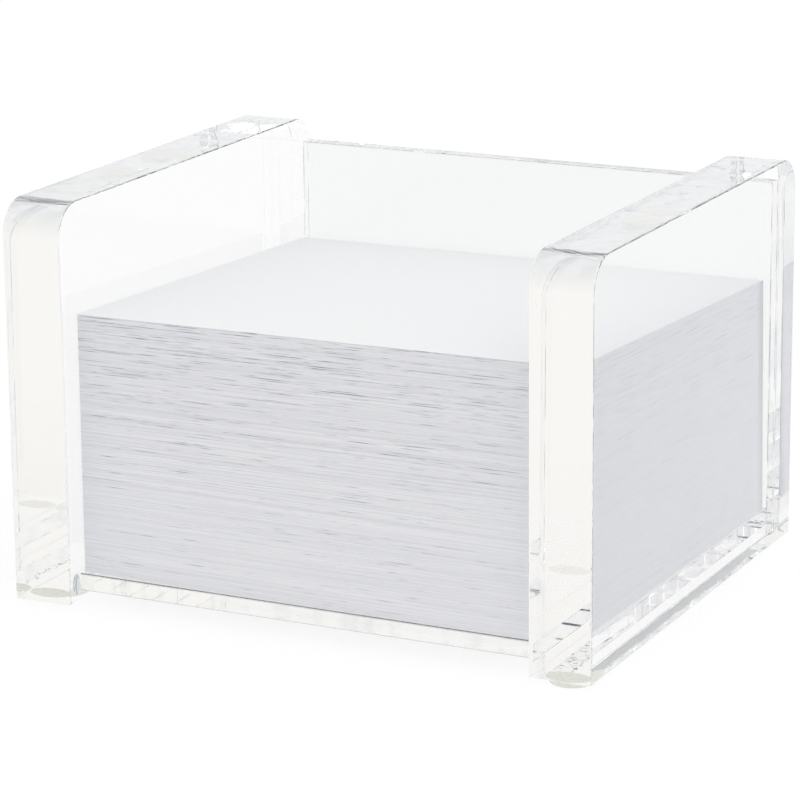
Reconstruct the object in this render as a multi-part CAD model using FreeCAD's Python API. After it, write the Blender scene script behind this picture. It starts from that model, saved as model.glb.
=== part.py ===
"""Clear acrylic memo sheet holder with an open front, and the loose note sheets that it holds.

Millimetres. +X is to the right, -Y is the open front and +Z is up. The origin is on the surface
that the feet stand on, under the middle of the side panels.
"""
import FreeCAD, Part
import math
import os

# Loose note sheets, which lie tight at the back, fan open towards the front and the right, and
# turn a little towards the bottom of the stack
sheet_width = 91.5
sheet_depth = 90.0
sheet_thickness = 0.1
sheet_air_gap = 0.05
stack_height_rear = 45.3
stack_front_rise = 4.0
stack_right_rise = 0.6
stack_turn_low_degrees = -0.7

# Room that the holder leaves round the sheets
stack_left_clearance = 0.35
stack_right_clearance = 0.25
stack_rear_clearance = 0.4
stack_front_inset_low = 4.9
stack_front_inset_high = 5.1

# Side panels: thick cast sheet with a polished edge all round
side_thickness = 12.0
side_height = 75.8
side_corner_radius = 6.5
side_edge_break = 0.3

# Base plate, raised off the side panels' lower edges and set back from their front edges
base_thickness = 3.3
base_lift = 2.1
base_front_setback = 3.5

# Back panel, level with the side panels' rear and lower edges
back_thickness = 3.5
back_height = 70.7

# Adhesive that bonds the four panels edge to face
bond_thickness = 0.1

# Stick-on bumper feet, each taken outward from the middle of its panel's thickness and in from
# the panel's nearer end; they were stuck on by hand, so the two sides differ
foot_diameter = 8.5
foot_height = 1.3
foot_rim_radius = 0.6
foot_shift_left = 1.7
foot_shift_right = 0.4
foot_inset_left = 9.0
foot_inset_right = 4.7

# Bay and side panels as the sheets ask for them
turn_low = math.radians(abs(stack_turn_low_degrees))
stack_spread = sheet_width * math.cos(turn_low) + sheet_depth * math.sin(turn_low)
bay_width = stack_left_clearance + stack_spread + stack_right_clearance
side_depth = stack_front_inset_high + sheet_depth + stack_rear_clearance + back_thickness

# Side panels as placed
side_bottom = foot_height
side_top = side_bottom + side_height
side_front = -side_depth / 2
side_rear = side_depth / 2
inner_face = bay_width / 2
outer_face = inner_face + side_thickness

# Base plate and back panel as placed, with their bonds taken off their edges
panel_width = bay_width - 2 * bond_thickness
base_bottom = side_bottom + base_lift
base_top = base_bottom + base_thickness
base_front = side_front + base_front_setback
back_front = side_rear - back_thickness
back_bottom = side_bottom
back_top = back_bottom + back_height
base_rear = back_front - bond_thickness

# Note sheets as placed
stack_left = -inner_face + stack_left_clearance
stack_front_low = side_front + stack_front_inset_low
stack_front_high = side_front + stack_front_inset_high

up = FreeCAD.Vector(0, 0, 1)


def block(x_low, x_high, y_low, y_high, z_low, z_high):
    """A box between two corners."""
    corner = FreeCAD.Vector(x_low, y_low, z_low)
    return Part.makeBox(x_high - x_low, y_high - y_low, z_high - z_low, corner)


def side_outline(x):
    """The side panel's outline in the plane X = x: square below, round at both upper corners."""
    radius = side_corner_radius
    reach = radius * (1 - math.sin(math.pi / 4))
    front_low = FreeCAD.Vector(x, side_front, side_bottom)
    front_high = FreeCAD.Vector(x, side_front, side_top - radius)
    front_mid = FreeCAD.Vector(x, side_front + reach, side_top - reach)
    top_front = FreeCAD.Vector(x, side_front + radius, side_top)
    top_rear = FreeCAD.Vector(x, side_rear - radius, side_top)
    rear_mid = FreeCAD.Vector(x, side_rear - reach, side_top - reach)
    rear_high = FreeCAD.Vector(x, side_rear, side_top - radius)
    rear_low = FreeCAD.Vector(x, side_rear, side_bottom)
    edges = [
        Part.LineSegment(front_low, front_high).toShape(),
        Part.Arc(front_high, front_mid, top_front).toShape(),
        Part.LineSegment(top_front, top_rear).toShape(),
        Part.Arc(top_rear, rear_mid, rear_high).toShape(),
        Part.LineSegment(rear_high, rear_low).toShape(),
        Part.LineSegment(rear_low, front_low).toShape(),
    ]
    return Part.Wire(edges)


def side_panel(x_low):
    """A thick side panel whose two outlines are eased all round."""
    x_high = x_low + side_thickness
    panel = Part.Face(side_outline(x_low)).extrude(FreeCAD.Vector(side_thickness, 0, 0))
    rims = []
    for edge in panel.Edges:
        bounds = edge.BoundBox
        on_low_face = bounds.XMax < x_low + side_edge_break
        on_high_face = bounds.XMin > x_high - side_edge_break
        if on_low_face or on_high_face:
            rims.append(edge)
    return panel.makeChamfer(side_edge_break, rims)


def base_plate():
    """The plate that the note sheets lie on."""
    return block(-panel_width / 2, panel_width / 2, base_front, base_rear, base_bottom, base_top)


def back_panel():
    """The thin rear wall between the side panels."""
    return block(-panel_width / 2, panel_width / 2, back_front, side_rear, back_bottom, back_top)


def side_bond(side, y_low, y_high, z_low, z_high):
    """An adhesive layer between a panel's edge and the inner face on one side, -1 left or 1 right."""
    x_ends = sorted((side * panel_width / 2, side * inner_face))
    return block(x_ends[0], x_ends[1], y_low, y_high, z_low, z_high)


def base_side_bond(side):
    """Adhesive along one end of the base plate."""
    return side_bond(side, base_front, base_rear, base_bottom, base_top)


def back_side_bond(side):
    """Adhesive along one edge of the back panel, clear of the side panel's eased edges."""
    z_low = back_bottom + side_edge_break
    return side_bond(side, back_front, side_rear - side_edge_break, z_low, back_top)


def base_back_bond():
    """Adhesive between the base plate's rear edge and the back panel."""
    return block(-panel_width / 2, panel_width / 2, base_rear, back_front, base_bottom, base_top)


def foot(side, end, shift, inset):
    """A round bumper under a side panel: side is -1 left or 1 right, end is -1 front or 1 rear."""
    x = side * (inner_face + side_thickness / 2 + shift)
    y = end * (side_depth / 2 - inset)
    disc = Part.makeCylinder(foot_diameter / 2, foot_height, FreeCAD.Vector(x, y, 0), up)
    rims = [edge for edge in disc.Edges if edge.BoundBox.ZMax < foot_rim_radius]
    return disc.makeFillet(foot_rim_radius, rims)


def sheet_corners(front_y, turn_degrees):
    """The four corners of a sheet in plan, turned about its front left corner."""
    turn = FreeCAD.Rotation(up, turn_degrees)
    front_left = FreeCAD.Vector(stack_left, front_y, 0)
    reaches = ((0, 0), (sheet_width, 0), (sheet_width, sheet_depth), (0, sheet_depth))
    return [front_left + turn.multVec(FreeCAD.Vector(x, y, 0)) for x, y in reaches]


def on_top_plane(corner, above):
    """The point over a corner in plan that lies this far above the plane of the stack's top."""
    back_share = (corner.y - stack_front_high) / sheet_depth
    right_share = (corner.x - stack_left) / sheet_width
    rise = stack_front_rise * (1 - back_share) + stack_right_rise * right_share
    z = base_top + stack_height_rear + rise + above
    return FreeCAD.Vector(corner.x, corner.y, z)


def quad_wire(corners):
    """A closed outline through four corners."""
    return Part.makePolygon(corners + corners[:1])


def note_stack():
    """The note sheets below the top one, as one solid between its lowest and highest sheet."""
    lift = FreeCAD.Vector(0, 0, base_top)
    low = [corner + lift for corner in sheet_corners(stack_front_low, stack_turn_low_degrees)]
    high = [on_top_plane(corner, 0) for corner in sheet_corners(stack_front_high, 0)]
    return Part.makeLoft([quad_wire(low), quad_wire(high)], True, True)


def top_sheet():
    """The uppermost sheet, which lies on the stack's slope and is the next to be taken."""
    corners = sheet_corners(stack_front_high, 0)
    low = [on_top_plane(corner, sheet_air_gap) for corner in corners]
    return Part.Face(quad_wire(low)).extrude(FreeCAD.Vector(0, 0, sheet_thickness))


def all_parts():
    """Every node's name and solid."""
    parts = {
        "left_side_panel": side_panel(-outer_face),
        "right_side_panel": side_panel(inner_face),
        "base_plate": base_plate(),
        "back_panel": back_panel(),
        "base_back_bond": base_back_bond(),
        "note_stack": note_stack(),
        "top_sheet": top_sheet(),
    }
    sides = (
        (-1, "left", foot_shift_left, foot_inset_left),
        (1, "right", foot_shift_right, foot_inset_right),
    )
    for side, side_name, shift, inset in sides:
        parts["base_" + side_name + "_bond"] = base_side_bond(side)
        parts["back_" + side_name + "_bond"] = back_side_bond(side)
        for end, end_name in ((-1, "front"), (1, "rear")):
            parts["foot_" + end_name + "_" + side_name] = foot(side, end, shift, inset)
    return parts


def main():
    """Write one STEP file for each node and print its size."""
    os.makedirs("parts", exist_ok=True)
    for name, shape in all_parts().items():
        box = shape.BoundBox
        size = (round(box.XLength, 2), round(box.YLength, 2), round(box.ZLength, 2))
        print(name, "valid", shape.isValid(), "solids", len(shape.Solids), "size", size)
        shape.exportStep("parts/" + name + ".step")


main()
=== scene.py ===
"""Looks of a clear acrylic memo sheet holder with its loose note sheets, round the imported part.

Metres, in the part's own frame: +X to the right, -Y out of the open front, +Z up.
"""

import math

import bmesh
import bpy
from mathutils import Matrix, Vector


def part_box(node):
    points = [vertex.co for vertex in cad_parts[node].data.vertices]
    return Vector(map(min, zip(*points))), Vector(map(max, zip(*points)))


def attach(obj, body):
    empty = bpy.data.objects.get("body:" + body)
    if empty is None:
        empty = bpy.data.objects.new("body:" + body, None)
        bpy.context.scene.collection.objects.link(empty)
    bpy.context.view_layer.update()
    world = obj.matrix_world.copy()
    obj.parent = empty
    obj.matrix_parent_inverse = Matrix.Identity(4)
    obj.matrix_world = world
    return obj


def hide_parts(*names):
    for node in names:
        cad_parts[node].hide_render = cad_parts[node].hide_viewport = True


bl_info = {
    "name": "Memo sheet holder",
    "version": (1, 0, 0),
    "blender": (4, 5, 0),
    "location": "View3D > Sidebar > Memo holder",
    "description": "Dresses a clear acrylic memo sheet holder and sets up its studio",
    "category": "Object",
}

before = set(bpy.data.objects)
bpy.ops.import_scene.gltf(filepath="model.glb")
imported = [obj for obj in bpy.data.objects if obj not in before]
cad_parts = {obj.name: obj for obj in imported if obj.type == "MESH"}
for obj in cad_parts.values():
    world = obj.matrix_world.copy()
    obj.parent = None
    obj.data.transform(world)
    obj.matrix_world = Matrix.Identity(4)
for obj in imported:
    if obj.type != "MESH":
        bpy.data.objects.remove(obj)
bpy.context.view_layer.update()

MM = 0.001

# Bodies that the pieces ride on
HOLDER = "holder"
SHEET_BLOCK = "sheet_block"
LOOSE_TOP_SHEET = "loose_top_sheet"

SIDES = ("left", "right")
ENDS = ("front", "rear")

# Faces that meet at more than this show a crease
CREASE = math.radians(8)


def linear(hex_colour):
    """Linear red, green and blue of an sRGB hex colour."""
    text = hex_colour.lstrip("#")
    parts = [int(text[i:i + 2], 16) / 255 for i in (0, 2, 4)]
    return [p / 12.92 if p <= 0.04045 else ((p + 0.055) / 1.055) ** 2.4 for p in parts]


def opaque(colour):
    """A three-part colour with full alpha, as a colour socket takes it."""
    return (colour[0], colour[1], colour[2], 1.0)


# Settings that a user would change

class AcrylicSettings(bpy.types.PropertyGroup):
    """Sizes and colours of the clear sheet, its adhesive and the feet."""

    corner_radius: bpy.props.FloatProperty(
        name="Corner radius", description="Radius of the side panels' two upper corners",
        default=6.5 * MM, min=0.0, unit="LENGTH")
    edge_round: bpy.props.FloatProperty(
        name="Eased edge", description="Radius that the polished edges are eased to",
        default=0.3 * MM, min=0.0, unit="LENGTH")
    plate_ease: bpy.props.FloatProperty(
        name="Eased plate edge", description="Radius that the thin plates' free edges are eased to",
        default=0.3 * MM, min=0.0, unit="LENGTH")
    sheet_tint: bpy.props.FloatVectorProperty(
        name="Sheet tint", description="Colour that the thick sheet gives what is seen through it",
        default=linear("#FDFDFD"), size=3, subtype="COLOR", min=0.0, max=1.0)
    thin_tint: bpy.props.FloatVectorProperty(
        name="Thin sheet tint", description="Colour that the thin sheet gives what is seen through it",
        default=linear("#F6F7F7"), size=3, subtype="COLOR", min=0.0, max=1.0)
    edge_tint: bpy.props.FloatVectorProperty(
        name="Edge tint", description="Colour that the long way through an edge adds",
        default=linear("#F7F6F3"), size=3, subtype="COLOR", min=0.0, max=1.0)
    # Painted shade: a grey tint on the edges that face up, not a colour of the acrylic
    painted_top_shade: bpy.props.FloatVectorProperty(
        name="Top tint", description="Colour that the edges facing up add",
        default=linear("#ECEEF0"), size=3, subtype="COLOR", min=0.0, max=1.0)
    # Painted shade: a grey tint on the side panels' round corners and the back panel's eased top
    # edges, not a colour of the acrylic
    painted_round_shade: bpy.props.FloatVectorProperty(
        name="Round tint", description="Colour that the side panels' round corners add",
        default=linear("#D0D3D7"), size=3, subtype="COLOR", min=0.0, max=1.0)
    # Painted shade: a near-black tint on the base plate's eased front edges draws dark lines there; it
    # is not a colour of the acrylic
    painted_arris_shade: bpy.props.FloatVectorProperty(
        name="Arris tint", description="Colour of the thin plates' machined arrises",
        default=linear("#15181E"), size=3, subtype="COLOR", min=0.0, max=1.0)
    shade: bpy.props.FloatVectorProperty(
        name="Shade", description="Share of the lamps' light that each surface lets through",
        default=linear("#F2F3F4"), size=3, subtype="COLOR", min=0.0, max=1.0)
    refraction: bpy.props.FloatProperty(
        name="Refraction", description="Index of refraction of cast acrylic",
        default=1.49, min=1.0, max=2.0)
    polish_wave: bpy.props.FloatProperty(
        name="Polish wave", description="Height of the waves that polishing leaves on the edges",
        default=0.003 * MM, min=0.0, precision=6, unit="LENGTH")
    top_wave: bpy.props.FloatProperty(
        name="Top wave", description="Height of the coarser waves along the panels' upper edges",
        default=0.07 * MM, min=0.0, precision=6, unit="LENGTH")
    plate_wave: bpy.props.FloatProperty(
        name="Plate wave", description="Height of the waves in the base plate's broad faces",
        default=0.004 * MM, min=0.0, precision=6, unit="LENGTH")
    polish_wave_length: bpy.props.FloatProperty(
        name="Polish wave length", description="Length of the waves on the polished edges",
        default=5.0 * MM, min=0.1 * MM, unit="LENGTH")
    foot_tint: bpy.props.FloatVectorProperty(
        name="Foot tint", description="Colour of the clear soft feet",
        default=linear("#CDCEC8"), size=3, subtype="COLOR", min=0.0, max=1.0)


class PaperSettings(bpy.types.PropertyGroup):
    """Sizes and colours of the loose note sheets."""

    sheets: bpy.props.IntProperty(
        name="Sheets", description="Number of sheets in the block below the top one",
        default=450, min=2, max=1000)
    thickness: bpy.props.FloatProperty(
        name="Sheet thickness", description="Thickness of one note sheet",
        default=0.094 * MM, min=0.01 * MM, precision=6, unit="LENGTH")
    width: bpy.props.FloatProperty(
        name="Sheet width", description="Width of a note sheet",
        default=91.5 * MM, min=MM, unit="LENGTH")
    depth: bpy.props.FloatProperty(
        name="Sheet depth", description="Depth of a note sheet from its front edge to its rear edge",
        default=90.0 * MM, min=MM, unit="LENGTH")
    front_rise: bpy.props.FloatProperty(
        name="Front rise", description="Height that the gaps between the sheets add at the front",
        default=4.0 * MM, min=0.0, unit="LENGTH")
    right_rise: bpy.props.FloatProperty(
        name="Right rise", description="Height that the gaps between the sheets add on the right",
        default=0.6 * MM, min=0.0, unit="LENGTH")
    low_turn: bpy.props.FloatProperty(
        name="Low turn", description="Angle by which the lowest sheet is turned in the bay",
        default=math.radians(-0.7), subtype="ANGLE")
    slip: bpy.props.FloatProperty(
        name="Slip", description="Most that a sheet sticks out past its neighbours",
        default=0.03 * MM, min=0.0, precision=6, unit="LENGTH")
    seed: bpy.props.IntProperty(
        name="Seed", description="Seed of the sheets' gaps and slips", default=7, min=0)
    face_colour: bpy.props.FloatVectorProperty(
        name="Face colour", description="Colour of a sheet's face",
        default=linear("#EDEDED"), size=3, subtype="COLOR", min=0.0, max=1.0)
    edge_colour: bpy.props.FloatVectorProperty(
        name="Edge colour", description="Colour of the guillotined edges",
        default=linear("#F1F1F4"), size=3, subtype="COLOR", min=0.0, max=1.0)
    # Painted shade: the dark colour that the gaps between the sheets' edges are drawn in
    painted_gap_shade: bpy.props.FloatVectorProperty(
        name="Gap colour", description="Colour of the fine dark gaps between the edges",
        default=linear("#4E5874"), size=3, subtype="COLOR", min=0.0, max=1.0)


class StudioSettings(bpy.types.PropertyGroup):
    """Camera, lamps and floor."""

    camera_place: bpy.props.FloatVectorProperty(
        name="Camera place", description="Where the camera stands",
        default=(286.568 * MM, -584.835 * MM, 211.812 * MM), size=3, subtype="TRANSLATION")
    azimuth: bpy.props.FloatProperty(
        name="Azimuth", description="Angle of the camera to the right of straight on",
        default=math.radians(26.290), subtype="ANGLE")
    elevation: bpy.props.FloatProperty(
        name="Elevation", description="Angle by which the camera looks down",
        default=math.radians(15.269), subtype="ANGLE")
    roll: bpy.props.FloatProperty(
        name="Roll", description="Angle by which the camera is turned on its own axis",
        default=math.radians(-0.526), subtype="ANGLE")
    lens: bpy.props.FloatProperty(
        name="Lens", description="Focal length in millimetres on a 36 mm sensor",
        default=159.742, min=1.0)
    sky_light: bpy.props.FloatProperty(
        name="Sky light", description="Level of the even light from all round",
        default=0.73, min=0.0)
    sky_behind: bpy.props.FloatVectorProperty(
        name="Sky behind", description="Share of the even light that comes from behind the holder",
        default=linear("#E6EAF0"), size=3, subtype="COLOR", min=0.0, max=1.0)
    lamp_light: bpy.props.FloatProperty(
        name="Lamp light", description="Level that the soft lamp adds on a level surface",
        default=0.39, min=0.0)
    lamp_width: bpy.props.FloatProperty(
        name="Lamp width", description="Angle that the soft lamp spans",
        default=math.radians(70.0), subtype="ANGLE")
    lamp_azimuth: bpy.props.FloatProperty(
        name="Lamp azimuth", description="Angle of the soft lamp to the right of straight on",
        default=math.radians(50.0), subtype="ANGLE")
    lamp_tilt: bpy.props.FloatProperty(
        name="Lamp tilt", description="Angle of the soft lamp away from straight overhead",
        default=math.radians(32.0), subtype="ANGLE")
    room_low: bpy.props.FloatVectorProperty(
        name="Room at eye level", description="What gloss and glass show just above the floor",
        default=linear("#FFFFFF"), size=3, subtype="COLOR", min=0.0, max=1.0)
    room_front: bpy.props.FloatVectorProperty(
        name="Room behind the camera", description="What gloss and glass show off the open front",
        default=linear("#F0F0F1"), size=3, subtype="COLOR", min=0.0, max=1.0)
    room_high: bpy.props.FloatVectorProperty(
        name="Room overhead", description="What gloss and glass show overhead",
        default=linear("#EDEFF2"), size=3, subtype="COLOR", min=0.0, max=1.0)
    floor_glow: bpy.props.FloatProperty(
        name="Floor glow", description="Share of the floor's white that no shadow darkens",
        default=0.9, min=0.0, max=1.0)


SETTINGS = (
    ("memo_acrylic", AcrylicSettings),
    ("memo_paper", PaperSettings),
    ("memo_studio", StudioSettings),
)


# Small helpers

def add_node(tree, kind, values=None):
    """Add a node; values are its settings and inputs by name or number, and a socket, or a node
    that stands for its first output in use, is linked."""
    node = tree.nodes.new(kind)
    for key, value in (values or {}).items():
        if isinstance(value, bpy.types.Node):
            value = next(socket for socket in value.outputs if socket.enabled)
        if isinstance(key, str) and key not in node.inputs:
            setattr(node, key, value)
        elif isinstance(value, bpy.types.NodeSocket):
            tree.links.new(value, node.inputs[key])
        else:
            node.inputs[key].default_value = value
    return node


def new_material(name):
    """An empty node material and its tree."""
    material = bpy.data.materials.new(name)
    material.use_nodes = True
    material.node_tree.nodes.clear()
    return material, material.node_tree


def finish_material(tree, shader):
    """Feed the shader to the material's surface."""
    add_node(tree, "ShaderNodeOutputMaterial", {"Surface": shader})


def dress(obj, material):
    """Give the whole piece one material."""
    obj.data.materials.clear()
    obj.data.materials.append(material)


def finished_mesh(bm, name):
    """The mesh of this name that the edited faces make."""
    mesh = bpy.data.meshes.new(name)
    bm.to_mesh(mesh)
    bm.free()
    return mesh


def mesh_piece(name, mesh, material, body, slot, *stands_for):
    """Link a finished mesh as a piece that rides a body and stands for CAD nodes, if any."""
    obj = bpy.data.objects.new(name, mesh)
    bpy.context.scene.collection.objects.link(obj)
    dress(obj, material)
    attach(obj, body)
    if stands_for:
        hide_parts(*stands_for)


def shade_by_angle(bm, angle):
    """Shade smoothly, with a crease wherever two faces meet at more than the angle."""
    for face in bm.faces:
        face.smooth = True
    for edge in bm.edges:
        if len(edge.link_faces) == 2:
            edge.smooth = edge.calc_face_angle() < angle


# The holder: cast sheet, cement and feet

def mirrored_place(tree, mirrored):
    """Object coordinates, of which one axis, X or Y, is taken without its sign."""
    place = add_node(tree, "ShaderNodeTexCoord").outputs["Object"]
    apart = add_node(tree, "ShaderNodeSeparateXYZ", {0: place})
    links = {axis: apart.outputs[axis] for axis in "XYZ"}
    links[mirrored] = add_node(tree, "ShaderNodeMath",
                               {"operation": "ABSOLUTE", 0: apart.outputs[mirrored]})
    return add_node(tree, "ShaderNodeCombineXYZ", links)


def in_box(tree, low, high, reach):
    """1 inside a box, given on the right-hand side of the object, and 0 outside it."""
    centre = (low + high) / 2
    half = (high - low) / 2 + Vector((reach, reach, reach))
    place = mirrored_place(tree, "X")
    shifted = add_node(tree, "ShaderNodeVectorMath",
                       {"operation": "SUBTRACT", 0: place, 1: centre})
    away = add_node(tree, "ShaderNodeVectorMath", {"operation": "ABSOLUTE", 0: shifted})
    past = add_node(tree, "ShaderNodeVectorMath", {"operation": "SUBTRACT", 0: away, 1: half})
    apart = add_node(tree, "ShaderNodeSeparateXYZ", {0: past})
    first = add_node(tree, "ShaderNodeMath",
                     {"operation": "MAXIMUM", 0: apart.outputs["X"], 1: apart.outputs["Y"]})
    most = add_node(tree, "ShaderNodeMath",
                    {"operation": "MAXIMUM", 0: first, 1: apart.outputs["Z"]})
    return add_node(tree, "ShaderNodeMath", {"operation": "LESS_THAN", 0: most, 1: 0.0})


def in_foot_disc(tree, centre, radius, reach):
    """1 on the round patches that one side's feet are stuck to, and 0 off them."""
    place = mirrored_place(tree, "Y")
    shifted = add_node(tree, "ShaderNodeVectorMath",
                       {"operation": "SUBTRACT", 0: place, 1: centre})
    shares = Vector((1 / radius, 1 / radius, 1 / reach))
    scaled = add_node(tree, "ShaderNodeVectorMath",
                      {"operation": "MULTIPLY", 0: shifted, 1: shares})
    away = add_node(tree, "ShaderNodeVectorMath", {"operation": "LENGTH", 0: scaled})
    return add_node(tree, "ShaderNodeMath", {"operation": "LESS_THAN", 0: away, 1: 1.0})


def wetted_patches(tree):
    """1 where cured adhesive or a foot wets the sheet, so that light passes straight on there."""
    reach = 0.04 * MM
    mask = None
    for bond in ("base_right_bond", "back_right_bond", "base_back_bond"):
        low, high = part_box(bond)
        if bond == "base_back_bond":
            low = Vector((-high.x, low.y, low.z))
        patch = in_box(tree, low, high, reach)
        mask = patch if mask is None else add_node(tree, "ShaderNodeMath",
                                                   {"operation": "MAXIMUM", 0: mask, 1: patch})
    for side in SIDES:
        low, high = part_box("foot_rear_" + side)
        top_centre = Vector(((low.x + high.x) / 2, (low.y + high.y) / 2, high.z))
        disc = in_foot_disc(tree, top_centre, (high.x - low.x) / 2, reach)
        mask = add_node(tree, "ShaderNodeMath", {"operation": "MAXIMUM", 0: mask, 1: disc})
    return mask


def lamp_pass(tree, glass, shade):
    """The glass shader, but with rays to the lamps and from diffuse surfaces let through
    unbent, so that the sheets behind it stay evenly lit."""
    path = add_node(tree, "ShaderNodeLightPath")
    unbent = add_node(tree, "ShaderNodeMath",
                      {"operation": "MAXIMUM", 0: path.outputs["Is Shadow Ray"],
                       1: path.outputs["Is Diffuse Ray"]})
    clear = add_node(tree, "ShaderNodeBsdfTransparent", {"Color": opaque(shade)})
    return add_node(tree, "ShaderNodeMixShader", {0: unbent, 1: glass, 2: clear})


def cast_acrylic(name, settings, broad_axis, sheet_tint, painted_turn_shade, broad_wave):
    """Clear cast acrylic with flame-polished edges: sharp, bright broad faces, and narrow faces
    whose long waves make what is seen through them look mottled. Painted shade: narrow faces
    facing up take a grey tint, and faces that turn from the front to the top, round corners and
    arrises, take the turn shade."""
    # Shares of a face's normal from which it counts as broad, or starts to lie level and does
    broad_from, level_from, level_at = 0.9, 0.6, 0.95
    # A turned face's normal has left the front, hasn't reached the top and doesn't lean sideways
    front_left, front_gone, top_near, side_lean = 0.1, 0.9, 0.975, 0.3
    material, tree = new_material(name)
    coordinates = add_node(tree, "ShaderNodeTexCoord")
    normal = add_node(tree, "ShaderNodeSeparateXYZ", {0: coordinates.outputs["Normal"]})
    facing = add_node(tree, "ShaderNodeMath",
                      {"operation": "ABSOLUTE", 0: normal.outputs[broad_axis]})
    narrow = add_node(tree, "ShaderNodeMath", {"operation": "LESS_THAN", 0: facing, 1: broad_from})
    upright = add_node(tree, "ShaderNodeMath", {"operation": "ABSOLUTE", 0: normal.outputs["Z"]})
    waves = add_node(tree, "ShaderNodeTexNoise",
                     {"Scale": 1 / settings.polish_wave_length, "Detail": 2.0, "Roughness": 0.55,
                      "Vector": coordinates.outputs["Object"]})
    level_wave = add_node(tree, "ShaderNodeMapRange",
                          {"From Min": level_from, "From Max": level_at,
                           "To Min": settings.polish_wave / MM, "To Max": settings.top_wave / MM,
                           "Value": upright})
    wave = add_node(tree, "ShaderNodeMix",
                    {"data_type": "FLOAT", 0: narrow, 2: broad_wave / MM, 3: level_wave})
    height = add_node(tree, "ShaderNodeMath", {"operation": "MULTIPLY", 0: waves, 1: wave})
    bump = add_node(tree, "ShaderNodeBump", {"Strength": 1.0, "Distance": MM, "Height": height})
    tint = add_node(tree, "ShaderNodeMix",
                    {"data_type": "RGBA", 0: narrow, 6: opaque(sheet_tint),
                     7: opaque(settings.edge_tint)})
    # Painted shade: narrow faces that face up take the grey top tint
    upward = add_node(tree, "ShaderNodeMapRange",
                      {"From Min": level_from, "From Max": level_at, "Value": normal.outputs["Z"]})
    on_top = add_node(tree, "ShaderNodeMath", {"operation": "MULTIPLY", 0: upward, 1: narrow})
    tint = add_node(tree, "ShaderNodeMix",
                    {"data_type": "RGBA", 0: on_top, 6: tint, 7: opaque(settings.painted_top_shade)})
    # Painted shade: faces that turn from the front to the top take the turn shade
    leaving_front = add_node(tree, "ShaderNodeMapRange",
                             {"From Min": front_left, "From Max": front_gone, "Value": upright})
    before_top = add_node(tree, "ShaderNodeMapRange",
                          {"From Min": 1.0, "From Max": top_near, "Value": upright})
    sideways = add_node(tree, "ShaderNodeMath", {"operation": "ABSOLUTE", 0: normal.outputs["X"]})
    off_side = add_node(tree, "ShaderNodeMath",
                        {"operation": "LESS_THAN", 0: sideways, 1: side_lean})
    turned = add_node(tree, "ShaderNodeMath",
                      {"operation": "MULTIPLY", 0: leaving_front, 1: before_top})
    turned = add_node(tree, "ShaderNodeMath", {"operation": "MULTIPLY", 0: turned, 1: off_side})
    tint = add_node(tree, "ShaderNodeMix",
                    {"data_type": "RGBA", 0: turned, 6: tint, 7: opaque(painted_turn_shade)})
    glass = add_node(tree, "ShaderNodeBsdfPrincipled",
                     {"Roughness": 0.0, "IOR": settings.refraction, "Transmission Weight": 1.0,
                      "Base Color": tint, "Normal": bump})
    passing = lamp_pass(tree, glass, settings.shade)
    clear = add_node(tree, "ShaderNodeBsdfTransparent")
    finish_material(tree, add_node(tree, "ShaderNodeMixShader",
                                   {0: wetted_patches(tree), 1: passing, 2: clear}))
    return material


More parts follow.
